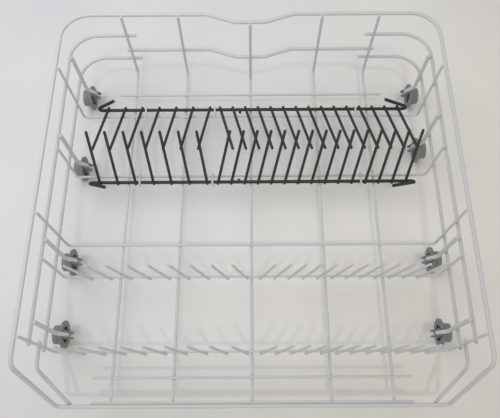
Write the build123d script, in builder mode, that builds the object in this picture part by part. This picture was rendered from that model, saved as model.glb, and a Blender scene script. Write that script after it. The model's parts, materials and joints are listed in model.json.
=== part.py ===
from build123d import *
import os
from math import cos, radians, sin, sqrt, tan
from typing import NamedTuple

os.makedirs("parts", exist_ok=True)

# Lower basket of a dishwasher: a cage of coated steel wire with two folding plate combs,
# two fixed rows of plate tines and eight clip-on wheels.
# Millimetres and degrees. The origin is on the ground under the middle of the basket,
# with +X to the right, +Y to the back and +Z up. Wire places are centre lines.

# Wire gauges over the coating
rim_d = 5.0
side_d = 4.5
arm_d = 5.2
runner_d = 4.0
cross_d = 3.4
floor_d = 3.4
tine_d = 3.2
rail_d = 4.8
comb_tine_d = 4.0
hook_d = 2.8

# Cage: the rim's size and the heights of the wires above the floor runners
rim_width = 502.0
rim_depth = 491.0
rim_rise = 124.0
mid_rise = 82.5
back_rise = 51.0
corner_rise = 50.0
low_rise = 33.0
wire_end = 4.0
short_end = 7.5
upright_end = 1.5

# Rim: its back corners, the dip in its back run and the drop to the low front
rim_corner_r = 36.0
dip_depth = 13.5
dip_floor = 40.0
dip_mouth = 118.0
dip_bend_r = 18.0
drop_setback = 35.0
drop_inset = 14.0
drop_bend_r = 14.0
foot_bend_r = 8.0

# Side wires: their back corners, how far they pass the outer runners, and the front corner wires
side_corner_r = 38.0
back_return = 12.5
corner_wire_slope = 53.0
corner_wire_inset = 27.5
corner_wire_end = 7.5
corner_wire_bend_r = 12.0

# Floor: runners from front to back, and the wires across them
runner_inner_x = 97.0
runner_outer_x = 173.2
runner_bend_r = 9.0
runner_overhang = 1.0
cross_bend_r = 5.0
cross_1_setback = 85.5
cross_2_y = 62.4
cross_3_y = -40.3
cross_4_y = -84.3
cross_5_setback = 64.7
rear_floor_setback = 47.4
front_floor_setback = 33.4
floor_overhang = 23.5

# Fixed tines on the fourth and fifth cross wires, leaning outwards
row_rise = 66.5
row_lean = 18.7
row_foot = 1.0
row_left_first = 5.0
row_left_pitch = 25.5
row_right_first = 10.5
row_right_pitch = 18.8
row_wall_gap = 6.0

# Folding combs
comb_tine_length = 75.0
comb_stub = 2.8
comb_left_first = 60.4
comb_left_pitch = 25.1
comb_right_first = -45.3
comb_right_pitch = 18.77
comb_left_end_gap = 22.8
comb_right_end_gap = 17.5
comb_end_margin = 8.0
comb_stop_x = -16.0
comb_stop_length = 3.5
comb_play = 0.1
leg_rise = 22.0
leg_left_angle = 32.5
leg_right_angle = 25.0
leg_bend_r = 3.5
rear_rail_offset = 11.7
rear_comb_angle = 6.5
rear_left_lean = 15.0
rear_right_lean = 20.0
front_rail_offset = 9.5
front_comb_angle = 42.0
front_left_lean = 12.5
front_right_lean = 18.5
front_comb_shift = -1.2

# Hooks that hold the comb rails down on the runners
hook_places = (-155.6, -53.2, 155.6)
hook_play = 0.08
hook_tail = 3.5
hook_knee = 2.0
hook_bend_r = 5.0

# Wheels and their carriers
flange_r = 18.2
flange_t = 3.0
tread_r = 12.2
tread_w = 11.1
axle_drop = 14.8
axle_r = 3.4
axle_play = 0.08
axle_head_r = 4.6
axle_head_t = 1.6
socket_r = 6.4
socket_depth = 2.6
pocket_r = 10.4
pocket_depth = 8.0
hub_r = 6.6
spoke_count = 5
spoke_t = 1.8
wheel_side_play = 0.4
wheel_inset = 3.55
wheel_1_setback = 38.8
wheel_2_left_y = 84.2
wheel_2_right_y = 111.8
wheel_3_y = -58.0
wheel_4_setback = 89.5
arm_slope = 48.0
arm_tip_inset = 12.3
arm_tip_rise = 0.0
arm_lead = 2.8
arm_bend_r = 8.0
boss_r = 5.0
web_t = 3.2
web_gap = 0.8
web_top_w = 4.6
clip_wall = 1.85
clip_floor = 1.4
clip_lip = 1.0
clip_play = 0.05
clip_back = 7.5
prong_length = 6.5

# Heights of the wires
runner_z = flange_r + axle_drop
cross_z = runner_z + (runner_d + cross_d) / 2
floor_z = runner_z + (runner_d + floor_d) / 2
front_run_z = runner_z + (runner_d + rim_d) / 2
rail_z = runner_z + (runner_d + rail_d) / 2 + comb_play
rim_z = runner_z + rim_rise
mid_z = runner_z + mid_rise
back_z = runner_z + back_rise
corner_z = runner_z + corner_rise
low_z = runner_z + low_rise
axle_z = flange_r

# Places across: uprights stand inside the rim and the side wires, and touch them
rim_x = rim_width / 2
upright_x = rim_x - (rim_d + cross_d) / 2
side_x = upright_x + (cross_d + side_d) / 2
arm_x = side_x - (side_d + arm_d) / 2
floor_half = runner_outer_x + floor_overhang
wheel_inner_x = arm_x - wheel_inset
arm_tip_x = arm_x - arm_tip_inset

# Places along the depth
back_y = rim_depth / 2
front_y = -rim_depth / 2
back_upright_y = back_y - (rim_d + runner_d) / 2
back_wire_y = back_upright_y + (runner_d + side_d) / 2
cross_1_y = back_y - cross_1_setback
cross_5_y = front_y + cross_5_setback
wheel_1_y = back_y - wheel_1_setback
wheel_4_y = front_y + wheel_4_setback
lip_reach = (rim_d + floor_d) / 2
lip_y = front_y + sqrt(lip_reach**2 - (front_run_z - floor_z) ** 2)

left, right = -1, 1
side_names = {left: "left", right: "right"}


def save(piece: Part, name: str) -> None:
    """Names a finished piece and writes it."""
    piece.label = name
    export_step(piece, f"parts/{name}.step")


def bent_wire(points: list, bends: list, gauge: float) -> Part:
    """Round wire along straight runs, with one bend radius for each corner."""
    with BuildPart() as wire:
        with BuildLine() as path:
            FilletPolyline(*points, radius=bends)
        with BuildSketch(Plane(origin=path.line @ 0, z_dir=path.line % 0)):
            Circle(gauge / 2)
        sweep(path=path.line)
    return wire.part


def straight_wires(runs: list, gauge: float) -> Part:
    """Separate straight wires, each from its first point to its second."""
    with BuildPart() as wires:
        for start, end in runs:
            run = Vector(*end) - Vector(*start)
            with BuildSketch(Plane(origin=start, z_dir=run)):
                Circle(gauge / 2)
            extrude(amount=run.length)
    return wires.part


# Rim: half of it is swept, from the middle of the back to the middle of the front, and mirrored
with BuildPart() as rim:
    with BuildLine() as rim_path:
        FilletPolyline(
            (0, back_y - dip_depth, rim_z),
            (dip_floor / 2, back_y - dip_depth, rim_z),
            (dip_mouth / 2, back_y, rim_z),
            (rim_x, back_y, rim_z),
            (rim_x, front_y + drop_setback, rim_z),
            (rim_x - drop_inset, front_y, front_run_z),
            (0, front_y, front_run_z),
            radius=[dip_bend_r, dip_bend_r, rim_corner_r, drop_bend_r, foot_bend_r],
        )
    with BuildSketch(Plane(origin=rim_path.line @ 0, z_dir=rim_path.line % 0)):
        Circle(rim_d / 2)
    sweep(path=rim_path.line)
    mirror(about=Plane.YZ)
save(rim.part, "rim_wire")

# Side wires, outside the uprights, round the back corners
side_front_y = cross_5_y - wire_end
for side, side_name in side_names.items():
    for level_name, level_z in (("mid", mid_z), ("low", low_z)):
        side_wire = bent_wire(
            [
                (side * (runner_outer_x - back_return), back_wire_y, level_z),
                (side * side_x, back_wire_y, level_z),
                (side * side_x, side_front_y, level_z),
            ],
            [side_corner_r],
            side_d,
        )
        save(side_wire, f"side_{level_name}_wire_{side_name}")

# Back wire with the same dip as the rim
back_wire_half = runner_outer_x + short_end
dip_y = back_wire_y - dip_depth
back_wire = bent_wire(
    [
        (-back_wire_half, back_wire_y, back_z),
        (-dip_mouth / 2, back_wire_y, back_z),
        (-dip_floor / 2, dip_y, back_z),
        (dip_floor / 2, dip_y, back_z),
        (dip_mouth / 2, back_wire_y, back_z),
        (back_wire_half, back_wire_y, back_z),
    ],
    [dip_bend_r] * 4,
    side_d,
)
save(back_wire, "back_wire")

# Front corner wires: from the last upright forward, then down and in behind the rim's front run
foot_seat = (rim_d + side_d) / 2
foot_y = front_y + foot_seat * sin(radians(corner_wire_slope))
foot_z = front_run_z - foot_seat * cos(radians(corner_wire_slope))
turn_y = foot_y + (corner_z - foot_z) / tan(radians(corner_wire_slope))
for side, side_name in side_names.items():
    turn = Vector(side * side_x, turn_y, corner_z)
    foot = Vector(side * (side_x - corner_wire_inset), foot_y, foot_z)
    corner_wire = bent_wire(
        [
            (side * side_x, cross_5_y + corner_wire_end, corner_z),
            turn,
            foot + (foot - turn).normalized() * wire_end,
        ],
        [corner_wire_bend_r],
        side_d,
    )
    save(corner_wire, f"front_corner_wire_{side_name}")

# Floor runners: under the front run, along the floor and up the back wall inside the rim
runner_front_y = front_y - runner_overhang
runner_places = (-runner_outer_x, -runner_inner_x, 0, runner_inner_x, runner_outer_x)
for number, runner_x in enumerate(runner_places, start=1):
    bend_y = back_upright_y - (dip_depth if runner_x == 0 else 0)
    runner = bent_wire(
        [
            (runner_x, runner_front_y, runner_z),
            (runner_x, bend_y, runner_z),
            (runner_x, bend_y, rim_z + upright_end),
        ],
        [runner_bend_r],
        runner_d,
    )
    save(runner, f"floor_runner_{number}")

# Cross wires on the runners, with their ends up the side walls
cross_tops = (
    (cross_1_y, rim_z + upright_end),
    (cross_2_y, mid_z + short_end),
    (cross_3_y, rim_z + upright_end),
    (cross_4_y, mid_z + short_end),
    (cross_5_y, rim_z + upright_end),
)
for number, (cross_y, top_z) in enumerate(cross_tops, start=1):
    cross_wire = bent_wire(
        [
            (-upright_x, cross_y, top_z),
            (-upright_x, cross_y, cross_z),
            (upright_x, cross_y, cross_z),
            (upright_x, cross_y, top_z),
        ],
        [cross_bend_r] * 2,
        cross_d,
    )
    save(cross_wire, f"cross_wire_{number}")

# Short straight wires across the floor, and the lip wire behind the front run
short_wires = {
    "rear_floor_wire": back_y - rear_floor_setback,
    "front_floor_wire": front_y + front_floor_setback,
    "front_lip_wire": lip_y,
}
for wire_name, wire_y in short_wires.items():
    ends = [((-floor_half, wire_y, floor_z), (floor_half, wire_y, floor_z))]
    save(straight_wires(ends, floor_d), wire_name)


def places(first: float, pitch: float, limit: float) -> list:
    """Places from the first outwards, a pitch apart, up to a limit."""
    return [first + pitch * step for step in range(int((limit - first) / pitch) + 1)]


# Fixed tines: welded to the front of their cross wire, leaning outwards from the middle
row_limit = upright_x - row_wall_gap - row_lean
row_feet = [(-x, -row_lean) for x in places(row_left_first, row_left_pitch, row_limit)]
row_feet += [(x, row_lean) for x in places(row_right_first, row_right_pitch, row_limit)]
row_foot_z = cross_z - row_foot
for row_name, cross_y in (("middle", cross_4_y), ("front", cross_5_y)):
    row_y = cross_y - (cross_d + tine_d) / 2
    row = []
    for foot_x, lean in row_feet:
        tip = (foot_x + lean, row_y, row_foot_z + row_rise)
        row.append(((foot_x, row_y, row_foot_z), tip))
    save(straight_wires(row, tine_d), f"{row_name}_tine_row")


class Comb(NamedTuple):
    """A folding comb: its rail, which way its tines point, their slope and leans, and its shift."""

    rail_y: float
    facing: int
    slope: float
    left_lean: float
    right_lean: float
    shift: float

    def point(self, across: float, along: float, off: float) -> Vector:
        """Point at a place across, a way along the tines and a height off their plane."""
        rise, run = sin(radians(self.slope)), cos(radians(self.slope))
        reach = along * run - off * rise
        height = along * rise + off * run
        return Vector(across + self.shift, self.rail_y + self.facing * reach, rail_z + height)


def hairpin(end: float, angle: float) -> tuple:
    """Corner and tip across, for a leg that turns back at an angle from the rail's outermost point."""
    corner = end + leg_bend_r / sin(radians(angle / 2)) - leg_bend_r
    return corner, corner - leg_rise * cos(radians(angle)) / sin(radians(angle))


rear_rail_y = cross_1_y + rear_rail_offset
front_rail_y = cross_2_y - front_rail_offset
rear_comb = Comb(rear_rail_y, -1, rear_comb_angle, rear_left_lean, rear_right_lean, 0.0)
front_comb = Comb(front_rail_y, 1, front_comb_angle, front_left_lean, front_right_lean, front_comb_shift)
left_end = upright_x - comb_left_end_gap
right_end = upright_x - comb_right_end_gap
left_corner, left_tip = hairpin(left_end, leg_left_angle)
right_corner, right_tip = hairpin(right_end, leg_right_angle)
tine_offset = (rail_d + comb_tine_d) / 2
left_feet = places(comb_left_first, comb_left_pitch, left_end - comb_end_margin)
right_feet = places(comb_right_first, comb_right_pitch, right_end - comb_end_margin)

for comb_name, comb in (("rear", rear_comb), ("front", front_comb)):
    rail = bent_wire(
        [
            comb.point(-left_tip, 0, leg_rise),
            comb.point(-left_corner, 0, 0),
            comb.point(right_corner, 0, 0),
            comb.point(right_tip, 0, leg_rise),
        ],
        [leg_bend_r] * 2,
        rail_d,
    )
    save(rail, f"{comb_name}_comb_rail")
    comb_feet = [(-x, -comb.left_lean) for x in left_feet]
    comb_feet += [(x, comb.right_lean) for x in right_feet]
    comb_tines = []
    for foot_x, lean in comb_feet:
        stub = comb.point(foot_x - lean * comb_stub / comb_tine_length, -comb_stub, tine_offset)
        comb_tines.append((stub, comb.point(foot_x + lean, comb_tine_length, tine_offset)))
    stop_start = comb.point(comb_stop_x, -rail_d / 2, -tine_offset)
    comb_tines.append((stop_start, comb.point(comb_stop_x, comb_stop_length, -tine_offset)))
    save(straight_wires(comb_tines, comb_tine_d), f"{comb_name}_comb_tines")

    # Hooks: from the cross wire over the rail and down behind it
    cross_y = cross_1_y if comb is rear_comb else cross_2_y
    away = -comb.facing
    eye_r = rail_d / 2 + hook_play + hook_d / 2
    seat_z = cross_z + (cross_d + hook_d) / 2
    over_z = rail_z + eye_r
    with BuildPart() as hooks:
        for hook_x in hook_places:
            with BuildLine() as hook_path:
                FilletPolyline(
                    (hook_x + comb.shift, cross_y - away * hook_tail, seat_z),
                    (hook_x + comb.shift, cross_y + away * hook_knee, seat_z),
                    (hook_x + comb.shift, comb.rail_y - away * hook_knee, over_z),
                    (hook_x + comb.shift, comb.rail_y + away * eye_r, over_z),
                    (hook_x + comb.shift, comb.rail_y + away * eye_r, runner_z),
                    radius=[hook_bend_r, hook_bend_r, eye_r],
                )
            with BuildSketch(Plane(origin=hook_path.line @ 0, z_dir=hook_path.line % 0)):
                Circle(hook_d / 2)
            sweep(path=hook_path.line)
    save(hooks.part, f"{comb_name}_comb_hooks")

# Wheels: the wire arm that reaches in under the wall, the carrier clipped on it, and the wheel
wheel_outer_x = wheel_inner_x + flange_t + tread_w
boss_face_x = wheel_inner_x - wheel_side_play
web_outer_x = wheel_inner_x - web_gap
arm_tip_z = runner_z + arm_tip_rise
arm_run = Vector(-cos(radians(arm_slope)), 0, -sin(radians(arm_slope)))
arm_turn_z = arm_tip_z + (arm_x - arm_tip_x) * arm_run.Z / arm_run.X
clip_w = arm_d + 2 * clip_wall
clip_h = arm_d / 2 + clip_floor + clip_lip
clip_centre = clip_lip - clip_h / 2
web_top_z = arm_tip_z + (web_outer_x - web_t - arm_tip_x) * arm_run.Z / arm_run.X
wheel_places = {
    left: (wheel_1_y, wheel_2_left_y, wheel_3_y, wheel_4_y),
    right: (wheel_1_y, wheel_2_right_y, wheel_3_y, wheel_4_y),
}


def wheel_arm(side: int, wheel_y: float) -> Part:
    """Wire from the mid side wire down inside the wall, bent in over the wheel, in front of its axle."""
    arm_y = wheel_y - arm_lead
    return bent_wire(
        [
            (side * arm_x, arm_y, mid_z + short_end),
            (side * arm_x, arm_y, arm_turn_z),
            (side * arm_tip_x, arm_y, arm_tip_z),
        ],
        [arm_bend_r],
        arm_d,
    )


def wheel_carrier(side: int, wheel_y: float) -> Part:
    """Plastic carrier: a clip with two prongs on the arm, a web, and the axle with its snap head."""
    facing = Plane(origin=(0, wheel_y, axle_z), x_dir=(0, side, 0), z_dir=(side, 0, 0))
    run = Vector(side * arm_run.X, 0, arm_run.Z)
    tip = Vector(side * arm_tip_x, wheel_y - arm_lead, arm_tip_z)
    groove_back = clip_back + web_t
    groove_start = Plane(origin=tip - run * groove_back, x_dir=(0, -side, 0), z_dir=run)
    clip_start = Plane(origin=tip - run * clip_back, x_dir=(0, -side, 0), z_dir=run)
    prong_start = Plane(origin=tip, x_dir=(0, -side, 0), z_dir=run)
    prong_shift = (arm_d + clip_wall) / 2
    web_shift = -side * arm_lead
    web_h = web_top_z - axle_z
    with BuildPart() as carrier:
        with BuildSketch(facing.offset(web_outer_x - web_t)):
            Circle(boss_r)
            with BuildLine():
                Polyline(
                    (-boss_r, 0), (web_shift - web_top_w / 2, web_h),
                    (web_shift + web_top_w / 2, web_h), (boss_r, 0), close=True,
                )
            make_face()
        extrude(amount=web_t)
        with BuildSketch(facing.offset(web_outer_x)):
            Circle(boss_r)
        extrude(amount=boss_face_x - web_outer_x)
        with BuildSketch(clip_start):
            with Locations((0, clip_centre)):
                Rectangle(clip_w, clip_h)
        extrude(amount=clip_back)
        with BuildSketch(prong_start):
            with Locations((-prong_shift, clip_centre), (prong_shift, clip_centre)):
                Rectangle(clip_wall, clip_h)
        extrude(amount=prong_length)
        with BuildSketch(groove_start):
            Circle(arm_d / 2 + clip_play)
        extrude(amount=groove_back + prong_length, mode=Mode.SUBTRACT)
        with BuildSketch(facing.offset(boss_face_x)):
            Circle(axle_r)
        extrude(amount=wheel_outer_x - socket_depth + wheel_side_play - boss_face_x)
        with BuildSketch(facing.offset(wheel_outer_x - socket_depth + wheel_side_play)):
            Circle(axle_head_r)
        extrude(amount=axle_head_t)
    return carrier.part


def wheel(side: int, wheel_y: float) -> Part:
    """Wheel turned about its axle: a flange, a tread round a spoked hub, a socket for the axle's head."""
    axle = Axis((0, wheel_y, axle_z), (1, 0, 0))
    inner_face = Plane(origin=(side * wheel_inner_x, wheel_y, axle_z), z_dir=(side, 0, 0))
    bore_r = axle_r + axle_play
    with BuildPart() as turned:
        with BuildSketch(Plane(origin=axle.position, x_dir=(side, 0, 0), z_dir=(0, -side, 0))):
            with BuildLine():
                Polyline(
                    (wheel_inner_x, bore_r),
                    (wheel_inner_x, flange_r),
                    (wheel_inner_x + flange_t, flange_r),
                    (wheel_inner_x + flange_t, tread_r),
                    (wheel_outer_x, tread_r),
                    (wheel_outer_x, socket_r),
                    (wheel_outer_x - socket_depth, socket_r),
                    (wheel_outer_x - socket_depth, bore_r),
                    close=True,
                )
            make_face()
        revolve(axis=axle)
        with BuildSketch(inner_face):
            Circle(pocket_r)
            Circle(hub_r, mode=Mode.SUBTRACT)
            with PolarLocations(pocket_r / 2, spoke_count):
                Rectangle(pocket_r, spoke_t, mode=Mode.SUBTRACT)
        extrude(amount=pocket_depth, mode=Mode.SUBTRACT)
    return turned.part


for side, side_name in side_names.items():
    for number, wheel_y in enumerate(wheel_places[side], start=1):
        save(wheel_arm(side, wheel_y), f"wheel_arm_{side_name}_{number}")
        save(wheel_carrier(side, wheel_y), f"wheel_carrier_{side_name}_{number}")
        save(wheel(side, wheel_y), f"wheel_{side_name}_{number}")
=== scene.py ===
"""Lower dishwasher basket: a coated wire cage, two folding combs and eight clip-on wheels."""
import json
import logging
from dataclasses import dataclass, field
from enum import Enum
from functools import cached_property
from math import cos, hypot, pi, radians, sin, tan
from typing import Iterable

import bmesh
import bpy
import numpy as np
from mathutils import Matrix, Vector


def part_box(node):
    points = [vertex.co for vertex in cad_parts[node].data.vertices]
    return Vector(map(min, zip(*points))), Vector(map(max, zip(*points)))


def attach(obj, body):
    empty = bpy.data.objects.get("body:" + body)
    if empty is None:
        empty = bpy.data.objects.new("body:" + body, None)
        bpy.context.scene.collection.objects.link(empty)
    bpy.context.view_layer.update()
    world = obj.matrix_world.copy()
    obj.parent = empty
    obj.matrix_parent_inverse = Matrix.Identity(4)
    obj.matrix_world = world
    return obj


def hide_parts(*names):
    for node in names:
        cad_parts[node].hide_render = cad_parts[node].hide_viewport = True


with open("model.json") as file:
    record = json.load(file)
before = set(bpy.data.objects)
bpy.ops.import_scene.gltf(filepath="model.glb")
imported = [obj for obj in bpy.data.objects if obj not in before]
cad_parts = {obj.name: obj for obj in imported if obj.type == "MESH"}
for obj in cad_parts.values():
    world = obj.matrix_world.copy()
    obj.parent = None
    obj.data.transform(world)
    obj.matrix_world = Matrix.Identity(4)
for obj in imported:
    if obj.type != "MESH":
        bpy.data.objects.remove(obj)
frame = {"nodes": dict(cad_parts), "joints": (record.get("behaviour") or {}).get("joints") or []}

log = logging.getLogger("basket")
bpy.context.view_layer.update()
MM = 0.001
BASKET = "basket"
WIRE_NUMBERS = range(1, 6)
WHEEL_NUMBERS = range(1, 5)
ALONG_X = Vector((1.0, 0.0, 0.0))
ALONG_Y = Vector((0.0, 1.0, 0.0))


class Side(Enum):
    """A side of the basket, seen from its low front."""

    LEFT = -1
    RIGHT = 1

    @property
    def word(self) -> str:
        """The side's word in the names of nodes."""
        return self.name.lower()


class Slot(Enum):
    """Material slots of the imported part."""

    WHITE = "white_coating"
    DARK = "dark_coating"
    WHEEL = "wheel_plastic"
    CARRIER = "carrier_plastic"


# Shader nodes and finishes

DRIFT_DETAIL = 3.0
GRAIN_DETAIL = 2.0


def map_range(
    tree: bpy.types.NodeTree, value: bpy.types.NodeSocket, span: tuple, reach: tuple
) -> bpy.types.NodeSocket:
    """Adds a node that maps one range of a value on another.

    Args:
        tree: The node tree.
        value: The value.
        span: The range that it comes from.
        reach: The range that it goes to and stays within.

    Returns:
        The mapped value.
    """
    node = tree.nodes.new("ShaderNodeMapRange")
    node.inputs["From Min"].default_value, node.inputs["From Max"].default_value = span
    node.inputs["To Min"].default_value, node.inputs["To Max"].default_value = reach
    tree.links.new(value, node.inputs["Value"])
    return node.outputs["Result"]


def surface_drift_group() -> bpy.types.ShaderNodeTree:
    """Colour, roughness and height that drift slowly over a surface, with a fine grain.

    Returns:
        The shader node group.
    """
    tree = bpy.data.node_groups.new("SurfaceDrift", "ShaderNodeTree")
    face = tree.interface
    for name, kind, value in (
        ("Light", "NodeSocketColor", (0.8, 0.8, 0.8, 1.0)),
        ("Dark", "NodeSocketColor", (0.7, 0.7, 0.7, 1.0)),
        ("Drift Scale", "NodeSocketFloat", 14.0),
        ("Grain Scale", "NodeSocketFloat", 900.0),
        ("Rough Low", "NodeSocketFloat", 0.3),
        ("Rough High", "NodeSocketFloat", 0.45),
    ):
        face.new_socket(name, in_out="INPUT", socket_type=kind).default_value = value
    for name, kind in (
        ("Color", "NodeSocketColor"),
        ("Roughness", "NodeSocketFloat"),
        ("Height", "NodeSocketFloat"),
    ):
        face.new_socket(name, in_out="OUTPUT", socket_type=kind)
    nodes, links = tree.nodes, tree.links
    source = nodes.new("NodeGroupInput")
    sink = nodes.new("NodeGroupOutput")
    place = nodes.new("ShaderNodeTexCoord")
    drift = nodes.new("ShaderNodeTexNoise")
    drift.inputs["Detail"].default_value = DRIFT_DETAIL
    grain = nodes.new("ShaderNodeTexNoise")
    grain.inputs["Detail"].default_value = GRAIN_DETAIL
    links.new(place.outputs["Object"], drift.inputs["Vector"])
    links.new(place.outputs["Object"], grain.inputs["Vector"])
    links.new(source.outputs["Drift Scale"], drift.inputs["Scale"])
    links.new(source.outputs["Grain Scale"], grain.inputs["Scale"])
    mix = nodes.new("ShaderNodeMix")
    mix.data_type = "RGBA"
    links.new(drift.outputs["Fac"], mix.inputs["Factor"])
    links.new(source.outputs["Dark"], mix.inputs["A"])
    links.new(source.outputs["Light"], mix.inputs["B"])
    rough = nodes.new("ShaderNodeMapRange")
    links.new(grain.outputs["Fac"], rough.inputs["Value"])
    links.new(source.outputs["Rough Low"], rough.inputs["To Min"])
    links.new(source.outputs["Rough High"], rough.inputs["To Max"])
    links.new(mix.outputs["Result"], sink.inputs["Color"])
    links.new(rough.outputs["Result"], sink.inputs["Roughness"])
    links.new(grain.outputs["Fac"], sink.inputs["Height"])
    return tree


@dataclass(frozen=True)
class Grain:
    """How finely a surface's tones drift and its grain repeats, and how strong and high the grain is."""

    drift_scale: float
    grain_scale: float
    strength: float
    height: float = 0.2 * MM


@dataclass(frozen=True)
class Finish:
    """A coating or plastic: two close tones, a range of roughness, a fine grain and a clear coat."""

    name: str
    light: tuple
    dark: tuple
    rough: tuple
    grain: Grain
    coat: float = 0.0
    coat_rough: float = 0.2

    def material(self, drift: bpy.types.ShaderNodeTree) -> bpy.types.Material:
        """Builds the finish.

        Args:
            drift: The shared group of drifting tones.

        Returns:
            The material.
        """
        material = bpy.data.materials.new(self.name)
        material.use_nodes = True
        nodes, links = material.node_tree.nodes, material.node_tree.links
        shader = nodes["Principled BSDF"]
        tones = nodes.new("ShaderNodeGroup")
        tones.node_tree = drift
        tones.inputs["Light"].default_value = (*self.light, 1.0)
        tones.inputs["Dark"].default_value = (*self.dark, 1.0)
        tones.inputs["Drift Scale"].default_value = self.grain.drift_scale
        tones.inputs["Grain Scale"].default_value = self.grain.grain_scale
        tones.inputs["Rough Low"].default_value, tones.inputs["Rough High"].default_value = self.rough
        bump = nodes.new("ShaderNodeBump")
        bump.inputs["Strength"].default_value = self.grain.strength
        bump.inputs["Distance"].default_value = self.grain.height
        shader.inputs["Coat Weight"].default_value = self.coat
        shader.inputs["Coat Roughness"].default_value = self.coat_rough
        links.new(tones.outputs["Color"], shader.inputs["Base Color"])
        links.new(tones.outputs["Roughness"], shader.inputs["Roughness"])
        links.new(tones.outputs["Height"], bump.inputs["Height"])
        links.new(bump.outputs["Normal"], shader.inputs["Normal"])
        return material


COATED = Grain(16.0, 700.0, 0.12)
MOULDED = Grain(40.0, 1500.0, 0.2)
FINISHES = {
    "white": Finish("WhiteCoating", (0.632, 0.637, 0.636), (0.575, 0.58, 0.58), (0.46, 0.6), COATED),
    "dark": Finish("DarkCoating", (0.024, 0.024, 0.025), (0.016, 0.016, 0.017), (0.42, 0.56), COATED, 0.05),
    "wheel": Finish("WheelPlastic", (0.245, 0.256, 0.268), (0.193, 0.201, 0.21), (0.42, 0.6), MOULDED),
    # painted shade: a near-black finish for the faces inside the wheel pockets, standing in for the shade
    # that falls there
    "recess": Finish("WheelPaintedPocketShade", (0.03, 0.031, 0.033), (0.02, 0.021, 0.022), (0.5, 0.65), MOULDED),
    "carrier": Finish("CarrierPlastic", (0.21, 0.216, 0.223), (0.165, 0.171, 0.177), (0.42, 0.6), MOULDED),
}


# Wires


@dataclass
class Wire:
    """One round wire: its route, its gauge and the bend radius at each of its corners, in metres."""

    route: list
    gauge: float
    bends: list = field(default_factory=list)
    closed: bool = False

    def run(self, first: int) -> "Wire":
        """The straight run that starts at one corner of the route."""
        return Wire(self.route[first:first + 2], self.gauge)


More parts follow.
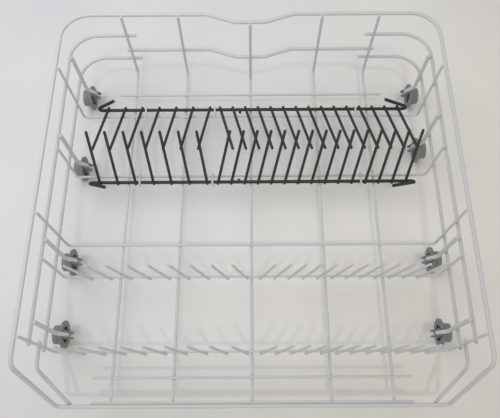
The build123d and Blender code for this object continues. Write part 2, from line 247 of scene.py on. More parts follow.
class WireTree:
    """Geometry nodes that turn routes into rounded wires, and loose points into weld beads."""

    sides: int = 20
    bend_steps: int = 9
    dome_steps: int = 5
    bead_segments: int = 12
    bead_rings: int = 8
    weld_gap: float = 0.01 * MM

    def __init__(self) -> None:
        """Builds the node tree once."""
        self.tree = bpy.data.node_groups.new("CoatedWire", "GeometryNodeTree")
        face = self.tree.interface
        face.new_socket("Routes", in_out="INPUT", socket_type="NodeSocketGeometry")
        self.inputs = {}
        for name, kind in (
            ("Sides", "NodeSocketInt"),
            ("Bend Steps", "NodeSocketInt"),
            ("Finish", "NodeSocketMaterial"),
        ):
            self.inputs[name] = face.new_socket(name, in_out="INPUT", socket_type=kind).identifier
        face.new_socket("Wires", in_out="OUTPUT", socket_type="NodeSocketGeometry")
        self._build()

    def _math(
        self,
        operation: str,
        first: "bpy.types.NodeSocket | float",
        second: "bpy.types.NodeSocket | float | None" = None,
    ) -> bpy.types.NodeSocket:
        """Adds a math node.

        Args:
            operation: Blender's name for the sum.
            first: A socket or a number.
            second: A socket, a number or nothing.

        Returns:
            The node's result.
        """
        node = self.tree.nodes.new("ShaderNodeMath")
        node.operation = operation
        for slot, value in zip(node.inputs, (first, second)):
            if isinstance(value, bpy.types.NodeSocket):
                self.tree.links.new(value, slot)
            elif value is not None:
                slot.default_value = value
        return node.outputs["Value"]

    def _attribute(self, name: str) -> bpy.types.NodeSocket:
        """Reads a named number of the route's points.

        Args:
            name: The number's name.

        Returns:
            The number.
        """
        node = self.tree.nodes.new("GeometryNodeInputNamedAttribute")
        node.data_type = "FLOAT"
        node.inputs["Name"].default_value = name
        return node.outputs["Attribute"]

    def _build(self) -> None:
        """Lays out the tree: routes to filleted curves to tubes with domed ends, plus the beads."""
        nodes, links = self.tree.nodes, self.tree.links
        source = nodes.new("NodeGroupInput")
        curve = nodes.new("GeometryNodeMeshToCurve")
        links.new(source.outputs["Routes"], curve.inputs["Mesh"])
        fillet = nodes.new("GeometryNodeFilletCurve")
        fillet.mode = "POLY"
        links.new(curve.outputs["Curve"], fillet.inputs["Curve"])
        links.new(source.outputs["Bend Steps"], fillet.inputs["Count"])
        links.new(self._attribute("bend"), fillet.inputs["Radius"])
        gauge = self._attribute("gauge")
        radius = self._math("MULTIPLY", gauge, 0.5)
        along = nodes.new("GeometryNodeSplineParameter").outputs["Length"]
        whole = nodes.new("GeometryNodeSplineLength").outputs["Length"]
        to_end = self._math("MINIMUM", along, self._math("SUBTRACT", whole, along))
        short = self._math("SUBTRACT", 1.0, self._math("DIVIDE", to_end, radius))
        clipped = self._math("MINIMUM", self._math("MAXIMUM", short, 0.0), 1.0)
        dome = self._math("SQRT", self._math("SUBTRACT", 1.0, self._math("MULTIPLY", clipped, clipped)))
        domed = self._math("MULTIPLY", radius, dome)
        open_end = self._math("SUBTRACT", 1.0, self._attribute("closed"))
        in_loop = self._math("MULTIPLY", radius, self._attribute("closed"))
        size = self._math("ADD", self._math("MULTIPLY", domed, open_end), in_loop)
        section = nodes.new("GeometryNodeCurvePrimitiveCircle")
        section.inputs["Radius"].default_value = 1.0
        links.new(source.outputs["Sides"], section.inputs["Resolution"])
        tube = nodes.new("GeometryNodeCurveToMesh")
        links.new(fillet.outputs["Curve"], tube.inputs["Curve"])
        links.new(section.outputs["Curve"], tube.inputs["Profile Curve"])
        links.new(size, tube.inputs["Scale"])
        weld = nodes.new("GeometryNodeMergeByDistance")
        weld.inputs["Distance"].default_value = self.weld_gap
        links.new(tube.outputs["Mesh"], weld.inputs["Geometry"])

        loose = nodes.new("FunctionNodeCompare")
        loose.data_type = "INT"
        loose.operation = "EQUAL"
        near = nodes.new("GeometryNodeInputMeshVertexNeighbors")
        links.new(near.outputs["Vertex Count"], loose.inputs["A"])
        points = nodes.new("GeometryNodeMeshToPoints")
        links.new(source.outputs["Routes"], points.inputs["Mesh"])
        links.new(loose.outputs["Result"], points.inputs["Selection"])
        ball = nodes.new("GeometryNodeMeshUVSphere")
        ball.inputs["Segments"].default_value = self.bead_segments
        ball.inputs["Rings"].default_value = self.bead_rings
        ball.inputs["Radius"].default_value = 0.5
        beads = nodes.new("GeometryNodeInstanceOnPoints")
        links.new(points.outputs["Points"], beads.inputs["Points"])
        links.new(ball.outputs["Mesh"], beads.inputs["Instance"])
        links.new(gauge, beads.inputs["Scale"])

        join = nodes.new("GeometryNodeJoinGeometry")
        links.new(beads.outputs["Instances"], join.inputs["Geometry"])
        links.new(weld.outputs["Geometry"], join.inputs["Geometry"])
        smooth = nodes.new("GeometryNodeSetShadeSmooth")
        links.new(join.outputs["Geometry"], smooth.inputs["Geometry"])
        real = nodes.new("GeometryNodeRealizeInstances")
        links.new(smooth.outputs["Geometry"], real.inputs["Geometry"])
        paint = nodes.new("GeometryNodeSetMaterial")
        links.new(real.outputs["Geometry"], paint.inputs["Geometry"])
        links.new(source.outputs["Finish"], paint.inputs["Material"])
        sink = nodes.new("NodeGroupOutput")
        links.new(paint.outputs["Geometry"], sink.inputs["Wires"])

    def _with_domes(self, wire: Wire) -> tuple:
        """Adds the points near a wire's ends where its rounded tips narrow.

        Args:
            wire: The wire.

        Returns:
            The route's points and the bend radius at each.
        """
        route = [Vector(p) for p in wire.route]
        if wire.closed:
            return route, list(wire.bends)
        turns = [pi / 2 * k / self.dome_steps for k in range(1, self.dome_steps + 1)]
        steps = [wire.gauge / 2 * (1 - cos(turn)) for turn in turns]
        ahead = (route[1] - route[0]).normalized()
        behind = (route[-2] - route[-1]).normalized()
        head = [route[0] + ahead * s for s in steps]
        tail = [route[-1] + behind * s for s in reversed(steps)]
        straight = [0.0] * (self.dome_steps + 1)
        return [route[0], *head, *route[1:-1], *tail, route[-1]], [*straight, *wire.bends, *straight]

    def make(
        self, name: str, wires: Iterable, beads: Iterable, material: bpy.types.Material
    ) -> bpy.types.Object:
        """Makes a mesh of wires and beads.

        Args:
            name: The piece's name.
            wires: The wires.
            beads: Pairs of a weld's place and its bead's diameter.
            material: The finish.

        Returns:
            The finished object.
        """
        points, edges, bend, gauge, closed = [], [], [], [], []
        for wire in wires:
            route, bends = self._with_domes(wire)
            start = len(points)
            points += route
            bend += bends
            gauge += [wire.gauge] * len(route)
            closed += [float(wire.closed)] * len(route)
            edges += [(start + k, start + k + 1) for k in range(len(route) - 1)]
            if wire.closed:
                edges.append((len(points) - 1, start))
        for place, size in beads:
            points.append(Vector(place))
            bend.append(0.0)
            gauge.append(size)
            closed.append(0.0)
        mesh = bpy.data.meshes.new(name)
        mesh.from_pydata(points, edges, [])
        for word, values in (("bend", bend), ("gauge", gauge), ("closed", closed)):
            mesh.attributes.new(word, "FLOAT", "POINT").data.foreach_set("value", values)
        host = bpy.data.objects.new(name, mesh)
        bpy.context.scene.collection.objects.link(host)
        modifier = host.modifiers.new("CoatedWire", "NODES")
        modifier.node_group = self.tree
        modifier[self.inputs["Sides"]] = self.sides
        modifier[self.inputs["Bend Steps"]] = self.bend_steps
        modifier[self.inputs["Finish"]] = material
        view = bpy.context.evaluated_depsgraph_get()
        made = bpy.data.meshes.new_from_object(host.evaluated_get(view), depsgraph=view)
        host.modifiers.remove(modifier)
        host.data = made
        bpy.data.meshes.remove(mesh)
        for word in ("bend", "gauge", "closed"):
            if word in made.attributes:
                made.attributes.remove(made.attributes[word])
        return host


def islands(node: str, digits: int = 6) -> list:
    """Splits a CAD node into its separate solids.

    Args:
        node: The node's name.
        digits: Points that agree to this many digits of a metre are the same.

    Returns:
        One array of points for each solid.
    """
    mesh = frame["nodes"][node].data
    places = np.array([v.co for v in mesh.vertices])
    _, same = np.unique(np.round(places, digits), axis=0, return_inverse=True)
    same = same.reshape(-1)
    parent = list(range(same.max() + 1))

    def root(k: int) -> int:
        """Finds the first point of the group that a point is in.

        Args:
            k: The point's number.

        Returns:
            The first point's number.
        """
        while parent[k] != k:
            parent[k] = parent[parent[k]]
            k = parent[k]
        return k

    for polygon in mesh.polygons:
        corners = [root(same[v]) for v in polygon.vertices]
        for corner in corners[1:]:
            parent[root(corner)] = root(corners[0])
    group = np.array([root(k) for k in same])
    return [places[group == g] for g in np.unique(group)]


def straight_wire(points: np.ndarray) -> Wire:
    """The wire that a straight round solid stands for.

    Args:
        points: The solid's points.

    Returns:
        Its route from end to end, and its gauge.
    """
    middle = points.mean(0)
    _, _, axes = np.linalg.svd(points - middle, full_matrices=False)
    along = (points - middle) @ axes[0]
    low = points[along < 0].mean(0)
    high = points[along > 0].mean(0)
    reach = np.linalg.norm(points[along < 0] - low, axis=1)
    if low[2] > high[2]:
        low, high = high, low
    return Wire([Vector(low), Vector(high)], float(2 * reach.mean()))


def run_through(place: Iterable, along: Vector, gauge: float) -> Wire:
    """A straight run of wire through a place."""
    return Wire([Vector(place), Vector(place) + along], gauge)


def meet(first: Wire, second: Wire, share: float = 0.85) -> tuple:
    """A weld bead where two straight runs touch.

    Args:
        first: A wire whose first run meets the other.
        second: The other wire, by its first run.
        share: The bead's size as a share of the thinner gauge.

    Returns:
        The bead's place and diameter.
    """
    start, along = Vector(first.route[0]), Vector(first.route[1]) - Vector(first.route[0])
    other, across = Vector(second.route[0]), Vector(second.route[1]) - Vector(second.route[0])
    offset = start - other
    slant = along.dot(across)
    on_first, on_second = along.dot(offset), across.dot(offset)
    scale = along.length_squared * across.length_squared - slant * slant
    near = start + along * ((slant * on_second - across.length_squared * on_first) / scale)
    far = other + across * ((along.length_squared * on_second - slant * on_first) / scale)
    place = near + (far - near) * (first.gauge / (first.gauge + second.gauge))
    return place, share * min(first.gauge, second.gauge)


def joint(name: str) -> dict:
    """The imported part's joint of that name."""
    return next(j for j in frame["joints"] if j["name"] == name)


def show(piece: bpy.types.Object, body: str, nodes: Iterable) -> None:
    """Puts a finished piece on its body in place of its CAD nodes, and reports it.

    Args:
        piece: The piece.
        body: The body that it moves with.
        nodes: The names of the CAD nodes that it replaces.
    """
    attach(piece, body)
    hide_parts(*nodes)
    log.info("%s: %d faces on %s", piece.name, len(piece.data.polygons), body)


@dataclass
class Cage:
    """The welded wire cage: rim, walls, floor, fixed tines, hooks and wheel arms."""

    tree: WireTree
    material: bpy.types.Material
    rim_gauge: float = 5.0 * MM
    rim_corner: float = 36.0 * MM
    dip_floor: float = 40.0 * MM
    dip_mouth: float = 118.0 * MM
    dip_depth: float = 13.5 * MM
    dip_bend: float = 18.0 * MM
    drop_setback: float = 35.0 * MM
    drop_inset: float = 14.0 * MM
    drop_bend: float = 14.0 * MM
    foot_bend: float = 8.0 * MM
    side_corner: float = 38.0 * MM
    runner_bend: float = 9.0 * MM
    cross_bend: float = 5.0 * MM
    corner_bend: float = 12.0 * MM
    corner_slope: float = radians(53.0)
    corner_end_share: float = 0.8
    hook_bend: float = 5.0 * MM
    hook_knee: float = 2.0 * MM
    arm_bend: float = 8.0 * MM
    arm_slope: float = radians(48.0)

    @cached_property
    def rim(self) -> Wire:
        """The closed rim with its back dip and low front.

        Returns:
            The wire.
        """
        low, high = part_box("rim_wire")
        r = self.rim_gauge / 2
        x, back, front = high.x - r, high.y - r, low.y + r
        top, foot = high.z - r, low.z + r
        half = [
            ((self.dip_floor / 2, back - self.dip_depth, top), self.dip_bend),
            ((self.dip_mouth / 2, back, top), self.dip_bend),
            ((x, back, top), self.rim_corner),
            ((x, front + self.drop_setback, top), self.drop_bend),
            ((x - self.drop_inset, front, foot), self.foot_bend),
        ]
        mirrored = [((-p[0], p[1], p[2]), bend) for p, bend in reversed(half)]
        corners = half + mirrored
        return Wire([p for p, _ in corners], self.rim_gauge, [b for _, b in corners], closed=True)

    def side_wire(self, level: str, side: Side) -> Wire:
        """A mid or low side wire, from its front end round the back corner.

        Args:
            level: "mid" or "low".
            side: The side that it is on.

        Returns:
            The wire.
        """
        low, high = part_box(f"side_{level}_wire_{side.word}")
        gauge = high.z - low.z
        r, z = gauge / 2, (high.z + low.z) / 2
        outer = side.value * (max(abs(low.x), abs(high.x)) - r)
        inner = side.value * min(abs(low.x), abs(high.x))
        back = high.y - r
        route = [(outer, low.y, z), (outer, back, z), (inner, back, z)]
        return Wire(route, gauge, [self.side_corner])

    @cached_property
    def back(self) -> Wire:
        """The back wire with its dip.

        Returns:
            The wire.
        """
        low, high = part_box("back_wire")
        gauge = high.z - low.z
        z, back, dip = (high.z + low.z) / 2, high.y - gauge / 2, low.y + gauge / 2
        route = [
            (low.x, back, z), (-self.dip_mouth / 2, back, z), (-self.dip_floor / 2, dip, z),
            (self.dip_floor / 2, dip, z), (self.dip_mouth / 2, back, z), (high.x, back, z),
        ]
        return Wire(route, gauge, [self.dip_bend] * 4)

    def corner_wire(self, side: Side) -> Wire:
        """A front corner wire: forward along the side, then down and in to the front run.

        Args:
            side: The side that it is on.

        Returns:
            The wire.
        """
        low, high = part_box(f"front_corner_wire_{side.word}")
        bottom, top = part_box("side_low_wire_left")
        gauge = top.z - bottom.z
        r = gauge / 2
        z = high.z - r
        outer = max(abs(low.x), abs(high.x)) - r
        inner = min(abs(low.x), abs(high.x)) + r * self.corner_end_share
        end_y = low.y + r * sin(self.corner_slope)
        end_z = low.z + r * cos(self.corner_slope)
        turn_y = end_y + (z - end_z) / tan(self.corner_slope)
        s = side.value
        route = [(s * outer, high.y, z), (s * outer, turn_y, z), (s * inner, end_y, end_z)]
        return Wire(route, gauge, [self.corner_bend])

    def runner(self, number: int) -> Wire:
        """A floor runner, from the front along the floor and up the back wall.

        Args:
            number: Its number, counted from the left.

        Returns:
            The wire.
        """
        low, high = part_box(f"floor_runner_{number}")
        gauge = high.x - low.x
        x, z, back = (high.x + low.x) / 2, low.z + gauge / 2, high.y - gauge / 2
        return Wire([(x, low.y, z), (x, back, z), (x, back, high.z)], gauge, [self.runner_bend])

    def cross_wire(self, number: int) -> Wire:
        """A cross wire over the runners with its ends up the side walls.

        Args:
            number: Its number, counted from the back.

        Returns:
            The wire.
        """
        low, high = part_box(f"cross_wire_{number}")
        gauge = high.y - low.y
        r, y, z = gauge / 2, (high.y + low.y) / 2, low.z + gauge / 2
        left, right = low.x + r, high.x - r
        route = [(left, y, high.z), (left, y, z), (right, y, z), (right, y, high.z)]
        return Wire(route, gauge, [self.cross_bend] * 2)

    def arm(self, side: Side, number: int) -> Wire:
        """A wheel arm, down inside the wall and in under it.

        Args:
            side: The side that it is on.
            number: Its number, counted from the back.

        Returns:
            The wire.
        """
        low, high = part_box(f"wheel_arm_{side.word}_{number}")
        gauge = high.y - low.y
        r, y = gauge / 2, (high.y + low.y) / 2
        outer = max(abs(low.x), abs(high.x)) - r
        inner = min(abs(low.x), abs(high.x)) + r * sin(self.arm_slope)
        tip = low.z + r * cos(self.arm_slope)
        turn = tip + (outer - inner) * tan(self.arm_slope)
        s = side.value
        route = [(s * outer, y, high.z), (s * outer, y, turn), (s * inner, y, tip)]
        return Wire(route, gauge, [self.arm_bend])

    def hooks(self, comb: str, cross: Wire) -> list:
        """The hooks that hold a comb's rail down: from its cross wire over the rail and down behind it.

        Args:
            comb: The comb's name.
            cross: The cross wire that the hooks are welded to.

        Returns:
            One wire for each hook.
        """
        rail_y = joint(f"{comb}_comb_fold")["pos_m"][1]
        cross_y, cross_z = cross.route[1][1], cross.route[1][2]
        away = 1 if rail_y > cross_y else -1
        wires = []
        for points in islands(f"{comb}_comb_hooks"):
            low, high = points.min(0), points.max(0)
            gauge = high[0] - low[0]
            x, top = (high[0] + low[0]) / 2, high[2] - gauge / 2
            seat = cross_z + (cross.gauge + gauge) / 2
            tail, down = (low[1], high[1] - gauge / 2) if away > 0 else (high[1], low[1] + gauge / 2)
            route = [
                (x, tail, seat), (x, cross_y + away * self.hook_knee, seat),
                (x, rail_y - away * self.hook_knee, top), (x, down, top), (x, down, low[2]),
            ]
            wires.append(Wire(route, gauge, [self.hook_bend, self.hook_bend, abs(down - rail_y)]))
        return wires

    @cached_property
    def runners(self) -> list:
        """The floor runners, from left to right."""
        return [self.runner(n) for n in WIRE_NUMBERS]

    @cached_property
    def crosses(self) -> list:
        """The cross wires, from the back to the front."""
        return [self.cross_wire(n) for n in WIRE_NUMBERS]

    @cached_property
    def sides(self) -> dict:
        """The side wires, by level and side."""
        return {(level, s): self.side_wire(level, s) for level in ("mid", "low") for s in Side}

    @cached_property
    def corners(self) -> dict:
        """The front corner wires, by side."""
        return {s: self.corner_wire(s) for s in Side}

    @cached_property
    def arms(self) -> dict:
        """The wheel arms, by side and number."""
        return {(s, n): self.arm(s, n) for s in Side for n in WHEEL_NUMBERS}

    @staticmethod
    def _upright(cross: Wire, side: Side) -> Wire:
        """The end of a cross wire that goes up a side."""
        return cross.run(0 if side is Side.LEFT else 2)

    def _in_dip(self, runner: Wire) -> bool:
        """Whether a runner goes up the back wall in the dip."""
        return abs(runner.route[0][0]) < self.dip_floor / 2

    def _wall_beads(self) -> list:
        """Finds where the side, back and corner wires meet the wires that cross them.

        Returns:
            Pairs of a weld's place and its bead's diameter.
        """
        beads = []
        for (_, side), wire in self.sides.items():
            beads += [meet(self._upright(cross, side), wire) for cross in self.crosses]
            beads += [meet(self.arms[side, n], wire) for n in WHEEL_NUMBERS]
            outer = self.runners[0 if side is Side.LEFT else -1]
            beads.append(meet(outer.run(1), wire.run(1)))
        for runner in self.runners:
            level = self.back.route[2 if self._in_dip(runner) else 0]
            beads.append(meet(runner.run(1), run_through(level, ALONG_X, self.back.gauge)))
        beads += [meet(self._upright(self.crosses[-1], side), wire) for side, wire in self.corners.items()]
        return beads

    def _rim_beads(self) -> list:
        """Finds where the rim meets every other cross wire, and both ends of each runner.

        Returns:
            Pairs of a weld's place and its bead's diameter.
        """
        beads = []
        gauge = self.rim.gauge
        dip, back, (x, y, top), _, front = self.rim.route[:5]
        for cross in self.crosses[::2]:
            for side in Side:
                run = run_through((side.value * x, y, top), ALONG_Y, gauge)
                beads.append(meet(self._upright(cross, side), run))
        for runner in self.runners:
            level = dip if self._in_dip(runner) else back
            beads.append(meet(runner.run(1), run_through(level, ALONG_X, gauge)))
            beads.append(meet(runner, run_through(front, ALONG_X, gauge)))
        return beads

    def _show(self, name: str, wires: Iterable, beads: list, nodes: list) -> None:
        """Makes one piece of wires and weld beads and puts it on the basket."""
        show(self.tree.make(name, wires, beads, self.material), BASKET, nodes)

    def build(self) -> None:
        """Makes each family of wires and puts it on the basket."""
        self._show("Rim", [self.rim], self._rim_beads(), ["rim_wire"])

        walls = [*self.sides.values(), self.back, *self.corners.values()]
        wall_nodes = [f"side_{level}_wire_{s.word}" for level, s in self.sides]
        wall_nodes += ["back_wire", *(f"front_corner_wire_{s.word}" for s in Side)]
        self._show("WallWires", walls, self._wall_beads(), wall_nodes)

        short_nodes = ["rear_floor_wire", "front_floor_wire", "front_lip_wire"]
        shorts = [straight_wire(islands(node)[0]) for node in short_nodes]
        across = [cross.run(1) for cross in self.crosses] + shorts
        floor_beads = [meet(runner, wire) for runner in self.runners for wire in across]
        floor_nodes = [f"floor_runner_{n}" for n in WIRE_NUMBERS] + [f"cross_wire_{n}" for n in WIRE_NUMBERS]
        floor = self.runners + self.crosses + shorts
        self._show("FloorWires", floor, floor_beads, floor_nodes + short_nodes)

        arm_nodes = [f"wheel_arm_{s.word}_{n}" for s, n in self.arms]
        self._show("WheelArms", self.arms.values(), [], arm_nodes)

        for row, cross in (("middle", self.crosses[3]), ("front", self.crosses[4])):
            tines = [straight_wire(points) for points in islands(f"{row}_tine_row")]
            beads = [meet(tine, cross.run(1)) for tine in tines]
            self._show(f"{row.capitalize()}TineRow", tines, beads, [f"{row}_tine_row"])
        for comb, cross in (("rear", self.crosses[0]), ("front", self.crosses[1])):
            hooks = self.hooks(comb, cross)
            beads = [meet(hook, cross.run(1)) for hook in hooks]
            self._show(f"{comb.capitalize()}CombHooks", hooks, beads, [f"{comb}_comb_hooks"])


@dataclass
class FoldingComb:
    """A comb that folds about its rail."""

    name: str
    tree: WireTree
    material: bpy.types.Material
    leg_bend: float = 3.5 * MM
    leg_rise: float = 22.0 * MM
    leg_angles: tuple = (radians(32.5), radians(25.0))

    def rail(self, tines: list) -> Wire:
        """The rail with its turned-back legs, square to the plane of the tines.

        Args:
            tines: The comb's long tines.

        Returns:
            The wire.
        """
        low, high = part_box(f"{self.name}_comb_rail")
        _, rail_y, rail_z = joint(f"{self.name}_comb_fold")["pos_m"]
        r = rail_z - low.z
        run = tines[0].route[1] - tines[0].route[0]
        run.x = 0.0
        run.normalize()
        lift = Vector((0.0, -run.z, run.y)) if run.y > 0 else Vector((0.0, run.z, -run.y))
        base = Vector((0.0, rail_y, rail_z))
        route = []
        for end, sign, angle in ((low.x + r, 1, self.leg_angles[0]), (high.x - r, -1, self.leg_angles[1])):
            corner = end - sign * (self.leg_bend / sin(angle / 2) - self.leg_bend)
            tip = corner + sign * self.leg_rise / tan(angle)
            leg = [base + Vector((tip, 0, 0)) + lift * self.leg_rise, base + Vector((corner, 0, 0))]
            route += leg if sign > 0 else leg[::-1]
        return Wire(route, 2 * r, [self.leg_bend] * 2)

    def build(self) -> None:
        """Makes the rail and tines and puts them on the comb's body."""
        tines = [straight_wire(points) for points in islands(f"{self.name}_comb_tines")]
        long_tines = [t for t in tines if (t.route[1] - t.route[0]).length > self.leg_rise]
        rail = self.rail(long_tines)
        beads = [meet(tine, rail.run(1)) for tine in tines]
        body = f"{self.name}_comb"
        word = self.name.capitalize()
        make = self.tree.make
        show(make(f"{word}CombRail", [rail], [], self.material), body, [f"{body}_rail"])
        show(make(f"{word}CombTines", tines, beads, self.material), body, [f"{body}_tines"])


# Wheels


def lathe(profile: list, steps: int) -> bmesh.types.BMesh:
    """Turns a closed profile about the X axis.

    Args:
        profile: Pairs of a place along X and a radius, all radii above zero.
        steps: How many steps make the full turn.

    Returns:
        The closed ring.
    """
    shape = bmesh.new()
    rings = []
    for k in range(steps):
        turn = 2 * pi * k / steps
        rings.append([shape.verts.new((x, r * cos(turn), r * sin(turn))) for x, r in profile])
    count = len(profile)
    for k in range(steps):
        here, there = rings[k], rings[(k + 1) % steps]
        for j in range(count):
            nxt = (j + 1) % count
            shape.faces.new((here[j], here[nxt], there[nxt], there[j]))
    bmesh.ops.recalc_face_normals(shape, faces=shape.faces)
    return shape


def rounded(profile: list, radius: float, steps: int = 4, share: float = 0.45) -> list:
    """Rounds each corner of a closed profile.

    Args:
        profile: The corners in order.
        radius: The rounding, cut down where an edge is short.
        steps: How many steps each rounding has.
        share: How much of an edge one rounding may take.

    Returns:
        The rounded profile.
    """
    count = len(profile)
    made = []
    for k, corner in enumerate(profile):
        here = Vector((*corner, 0.0))
        before = Vector((*profile[k - 1], 0.0)) - here
        after = Vector((*profile[(k + 1) % count], 0.0)) - here
        reach = min(radius, before.length * share, after.length * share)
        start, end = here + before.normalized() * reach, here + after.normalized() * reach
        for j in range(steps + 1):
            t = j / steps
            point = start * (1 - t) ** 2 + here * 2 * t * (1 - t) + end * t * t
            made.append((point.x, point.y))
    return made


@dataclass
class WheelSet:
    """A wheel and the carrier that clips it to its arm."""

    side: Side
    number: int
    materials: dict
    steps: int = 80
    flange_t: float = 3.0 * MM
    tread_r: float = 12.2 * MM
    bore_r: float = 3.48 * MM
    socket_r: float = 6.4 * MM
    socket_depth: float = 2.6 * MM
    hub_r: float = 6.6 * MM
    pocket_r: float = 10.4 * MM
    pocket_depth: float = 8.0 * MM
    spoke_count: int = 5
    spoke_t: float = 1.8 * MM
    edge: float = 0.6 * MM
    carrier_edge: float = 0.35 * MM
    bevel_steps: int = 2
    bevel_profile: float = 0.5
    merge_gap: float = 0.001 * MM
    flat: float = radians(1.0)
    sharp: float = radians(32.0)

    def _finish(self, shape: bmesh.types.BMesh, kind: str) -> bpy.types.Object:
        """Turns a shape into an object with its finish.

        Args:
            shape: The shape, which is used up.
            kind: "wheel" or "carrier".

        Returns:
            The object.
        """
        name = f"{kind.capitalize()}{self.side.word.capitalize()}{self.number}"
        mesh = bpy.data.meshes.new(name)
        shape.to_mesh(mesh)
        shape.free()
        mesh.materials.append(self.materials[kind])
        # the wheel's second material is the painted shade inside its pockets
        if kind == "wheel":
            mesh.materials.append(self.materials["recess"])
        mesh.shade_smooth()
        mesh.set_sharp_from_angle(angle=self.sharp)
        piece = bpy.data.objects.new(name, mesh)
        bpy.context.scene.collection.objects.link(piece)
        return piece

    def _spokes(self, shape: bmesh.types.BMesh) -> None:
        """Adds the spokes between the hub and the tread, a little below the inner face.

        Args:
            shape: The wheel, which is added to.
        """
        inset, length = self.edge / 2, self.pocket_r - self.hub_r + self.edge
        for k in range(self.spoke_count):
            made = bmesh.ops.create_cube(shape, size=1.0)["verts"]
            size = Matrix.Diagonal((self.pocket_depth - inset, self.spoke_t, length, 1.0))
            middle = ((self.pocket_depth + inset) / 2, 0.0, (self.hub_r + self.pocket_r) / 2)
            turn = Matrix.Rotation(2 * pi * k / self.spoke_count, 4, "X")
            bmesh.ops.transform(shape, matrix=turn @ Matrix.Translation(middle) @ size, verts=made)

    def _paint_pocket_shade(self, shape: bmesh.types.BMesh) -> None:
        """Gives the faces inside the pockets the wheel's second finish, a near-black that is painted shade:
        it stands in for the shade that falls into the pockets.

        Args:
            shape: The wheel, whose faces are marked.
        """
        # faces between hub and tread, inside the pockets, get the painted shade
        margin = self.edge / 4
        for face in shape.faces:
            x, y, z = face.calc_center_median()
            inside = self.hub_r - margin < hypot(y, z) < self.pocket_r + margin
            if inside and self.edge < x < self.pocket_depth + margin:
                face.material_index = 1

    def wheel(self) -> None:
        """Makes the wheel: a thin flange, a spoked hub inside, the tread and the axle's socket outside, with
        painted shade inside the pockets.
        """
        node = f"wheel_{self.side.word}_{self.number}"
        low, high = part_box(node)
        centre = (low + high) / 2
        flange_r, width = (high.z - low.z) / 2, high.x - low.x
        corners = [
            (0.0, self.bore_r), (0.0, self.hub_r), (self.pocket_depth, self.hub_r),
            (self.pocket_depth, self.pocket_r), (0.0, self.pocket_r), (0.0, flange_r),
            (self.flange_t, flange_r), (self.flange_t, self.tread_r), (width, self.tread_r),
            (width, self.socket_r), (width - self.socket_depth, self.socket_r),
            (width - self.socket_depth, self.bore_r),
        ]
        shape = lathe(rounded(corners, self.edge), self.steps)
        self._spokes(shape)
        # paint the shade that falls into the pockets onto their faces
        self._paint_pocket_shade(shape)
        inner = self.side.value * min(abs(low.x), abs(high.x))
        move = Matrix.Translation((inner, centre.y, centre.z))
        if self.side is Side.LEFT:
            move @= Matrix.Rotation(pi, 4, "Y")
        bmesh.ops.transform(shape, matrix=move, verts=shape.verts)
        show(self._finish(shape, "wheel"), node, [node])

    def carrier(self) -> None:
        """Makes the carrier: the CAD piece with its edges rounded."""
        node = f"wheel_carrier_{self.side.word}_{self.number}"
        shape = bmesh.new()
        shape.from_mesh(frame["nodes"][node].data)
        bmesh.ops.remove_doubles(shape, verts=shape.verts, dist=self.merge_gap)
        bmesh.ops.dissolve_limit(shape, angle_limit=self.flat, verts=shape.verts, edges=shape.edges)
        corners = [e for e in shape.edges if e.is_manifold and e.calc_face_angle() > self.sharp]
        bmesh.ops.bevel(
            shape,
            geom=corners,
            offset=self.carrier_edge,
            segments=self.bevel_steps,
            profile=self.bevel_profile,
            affect="EDGES",
            clamp_overlap=True,
        )
        bmesh.ops.triangulate(shape, faces=shape.faces)
        show(self._finish(shape, "carrier"), BASKET, [node])


# Studio


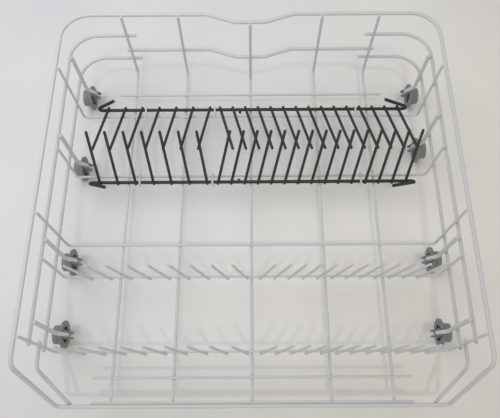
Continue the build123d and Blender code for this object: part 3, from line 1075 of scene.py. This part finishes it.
@dataclass(frozen=True)
class Studio:
    """Floor, lights and the photograph's camera."""

    floor_size: float = 12.0
    # painted light: the floor's colour runs from the left tone at the back left to the right tone at the
    # front right, darker and cooler where the fill lamp lights it, lighter and warmer away from it
    floor_left: tuple = (0.63, 0.633, 0.652)
    floor_right: tuple = (0.895, 0.87, 0.82)
    floor_rough: float = 0.8
    floor_shine: float = 0.1
    blotch_scale: float = 6.0
    blotch_share: float = 0.3
    # how far and at what slant the painted light gradient runs across the floor
    painted_gradient_reach: float = 0.6
    painted_gradient_slant: float = 0.6
    # painted shade: the floor's colour darkens outwards from this centre, where the light falls off
    painted_shade_centre: tuple = (-0.15, 0.3, 0.0)
    painted_shade_near: float = 0.42
    painted_shade_far: float = 0.8
    painted_shade_share: float = 0.84
    # painted light: far off the floor's colour lightens again, making up for the lamps' falloff
    painted_light_far_start: float = 0.7
    far_end: float = 2.5
    painted_light_far_share: float = 1.3
    surround_level: float = 0.545
    surround_lean: tuple = (0.26, -0.28, -0.05)
    surround_tint: tuple = (1.0, 0.985, 0.94)
    key_place: tuple = (0.0, -1.7, 4.0)
    key_spread: float = radians(5.0)
    key_power: float = 0.33
    key_tint: tuple = (1.0, 0.985, 0.94)
    fill_place: tuple = (-0.44, 0.24, 0.8)
    fill_size: float = 0.9
    fill_power: float = 4.0
    fill_tint: tuple = (0.95, 0.98, 1.08)
    focal_px: float = 551.9
    width_px: float = 500.0
    sensor: float = 36.0
    near_clip: float = 0.01
    place: tuple = (0.2 * MM, -276.8 * MM, 744.8 * MM)
    pitch: float = radians(67.824)
    yaw: float = radians(0.382)
    roll: float = radians(-0.688)

    def _floor_material(self) -> bpy.types.Material:
        """Builds the floor's finish, whose colour is painted light: it changes across the floor as the light
        does, darkens outwards as painted shade and lightens far off as painted light.

        Returns:
            The material.
        """
        material = bpy.data.materials.new("PaleFloorPaintedLight")
        material.use_nodes = True
        tree = material.node_tree
        nodes, links = tree.nodes, tree.links
        shader = nodes["Principled BSDF"]
        shader.inputs["Roughness"].default_value = self.floor_rough
        shader.inputs["Specular IOR Level"].default_value = self.floor_shine
        place = nodes.new("ShaderNodeTexCoord").outputs["Object"]
        # painted light: the share of the right tone grows from the back left to the front right
        across = nodes.new("ShaderNodeVectorMath")
        across.operation = "DOT_PRODUCT"
        across.inputs[1].default_value = (1.0, -self.painted_gradient_slant, 0.0)
        links.new(place, across.inputs[0])
        share = map_range(tree, across.outputs["Value"], (-self.painted_gradient_reach, self.painted_gradient_reach), (0.0, 1.0))
        noise = nodes.new("ShaderNodeTexNoise")
        noise.inputs["Scale"].default_value = self.blotch_scale
        links.new(place, noise.inputs["Vector"])
        blotch = nodes.new("ShaderNodeMath")
        blotch.operation = "MULTIPLY_ADD"
        blotch.inputs[1].default_value = self.blotch_share
        links.new(noise.outputs["Fac"], blotch.inputs[0])
        links.new(share, blotch.inputs[2])
        # mix the two painted light tones of the floor
        mix = nodes.new("ShaderNodeMix")
        mix.data_type = "RGBA"
        mix.inputs["A"].default_value = (*self.floor_left, 1.0)
        mix.inputs["B"].default_value = (*self.floor_right, 1.0)
        links.new(blotch.outputs["Value"], mix.inputs["Factor"])
        away = nodes.new("ShaderNodeVectorMath")
        away.operation = "DISTANCE"
        away.inputs[1].default_value = self.painted_shade_centre
        links.new(place, away.inputs[0])
        distance = away.outputs["Value"]
        level = nodes.new("ShaderNodeMath")
        level.operation = "MULTIPLY"
        # painted shade: darker outwards from the centre
        painted_outward_shade = map_range(tree, distance, (self.painted_shade_near, self.painted_shade_far), (1.0, self.painted_shade_share))
        # painted light: lighter far off
        far = map_range(tree, distance, (self.painted_light_far_start, self.far_end), (1.0, self.painted_light_far_share))
        links.new(painted_outward_shade, level.inputs[0])
        links.new(far, level.inputs[1])
        # the floor's colour scaled by both the painted shade and the painted far light
        painted_tone = nodes.new("ShaderNodeVectorMath")
        painted_tone.operation = "SCALE"
        links.new(mix.outputs["Result"], painted_tone.inputs[0])
        links.new(level.outputs["Value"], painted_tone.inputs["Scale"])
        links.new(painted_tone.outputs["Vector"], shader.inputs["Base Color"])
        return material

    def floor(self) -> None:
        """A floor whose colour is painted light: cooler and darker at the back left, warmer and lighter at
        the front right.
        """
        half = self.floor_size / 2
        corners = [(-half, -half, 0.0), (half, -half, 0.0), (half, half, 0.0), (-half, half, 0.0)]
        mesh = bpy.data.meshes.new("StudioFloor")
        mesh.from_pydata(corners, [], [(0, 1, 2, 3)])
        mesh.materials.append(self._floor_material())
        floor = bpy.data.objects.new("StudioFloor", mesh)
        bpy.context.scene.collection.objects.link(floor)

    def _lamp(self, name: str, kind: str, place: tuple) -> bpy.types.Light:
        """Adds a lamp that shines on the middle of the floor.

        Args:
            name: The lamp's name.
            kind: Blender's word for its kind.
            place: Where it is.

        Returns:
            The lamp's light, to be set up.
        """
        light = bpy.data.lights.new(name, kind)
        lamp = bpy.data.objects.new(name, light)
        lamp.location = place
        lamp.rotation_euler = (-Vector(place)).to_track_quat("-Z", "Y").to_euler()
        lamp.visible_camera = False
        bpy.context.scene.collection.objects.link(lamp)
        return light

    def lights(self) -> None:
        """A soft sun high in front, a lamp at the back left, and a surround lighter at the front right."""
        world = bpy.data.worlds.new("StudioSurround")
        bpy.context.scene.world = world
        world.use_nodes = True
        nodes, links = world.node_tree.nodes, world.node_tree.links
        place = nodes.new("ShaderNodeTexCoord")
        lean = nodes.new("ShaderNodeVectorMath")
        lean.operation = "DOT_PRODUCT"
        lean.inputs[1].default_value = self.surround_lean
        links.new(place.outputs["Generated"], lean.inputs[0])
        strength = nodes.new("ShaderNodeMath")
        strength.operation = "MULTIPLY_ADD"
        strength.inputs[1].default_value = self.surround_level
        strength.inputs[2].default_value = self.surround_level
        links.new(lean.outputs["Value"], strength.inputs[0])
        nodes["Background"].inputs["Color"].default_value = (*self.surround_tint, 1.0)
        links.new(strength.outputs["Value"], nodes["Background"].inputs["Strength"])
        key = self._lamp("KeyLight", "SUN", self.key_place)
        key.angle = self.key_spread
        key.energy = self.key_power
        key.color = self.key_tint
        fill = self._lamp("FillLight", "AREA", self.fill_place)
        fill.size = self.fill_size
        fill.energy = self.fill_power
        fill.color = self.fill_tint

    def camera(self) -> None:
        """The camera at the photograph's place and angle."""
        data = bpy.data.cameras.new("PhotoCamera")
        data.sensor_fit = "HORIZONTAL"
        data.sensor_width = self.sensor
        data.lens = self.focal_px * self.sensor / self.width_px
        data.clip_start = self.near_clip
        right = Vector((cos(self.yaw), sin(self.yaw), 0.0))
        ahead = Vector((-sin(self.yaw) * cos(self.pitch), cos(self.yaw) * cos(self.pitch), -sin(self.pitch)))
        up = right.cross(ahead)
        turned_right = right * cos(self.roll) + up * sin(self.roll)
        turned_up = up * cos(self.roll) - right * sin(self.roll)
        pose = Matrix((turned_right, turned_up, -ahead)).transposed().to_4x4()
        pose.translation = Vector(self.place)
        camera = bpy.data.objects.new("PhotoCamera", data)
        camera.matrix_world = pose
        bpy.context.scene.collection.objects.link(camera)
        bpy.context.scene.camera = camera


def main() -> None:
    """Builds the basket's sub-assemblies and the studio, in order."""
    logging.basicConfig(level=logging.INFO, format="%(name)s: %(message)s")
    drift = surface_drift_group()
    materials = {name: finish.material(drift) for name, finish in FINISHES.items()}
    tree = WireTree()
    Cage(tree, materials["white"]).build()
    for name in ("rear", "front"):
        FoldingComb(name, tree, materials["dark"]).build()
    for side in Side:
        for number in WHEEL_NUMBERS:
            wheel_set = WheelSet(side, number, materials)
            wheel_set.wheel()
            wheel_set.carrier()
    studio = Studio()
    studio.floor()
    studio.lights()
    studio.camera()
    bpy.context.scene.view_settings.view_transform = "Standard"


if __name__ == "__main__":
    main()
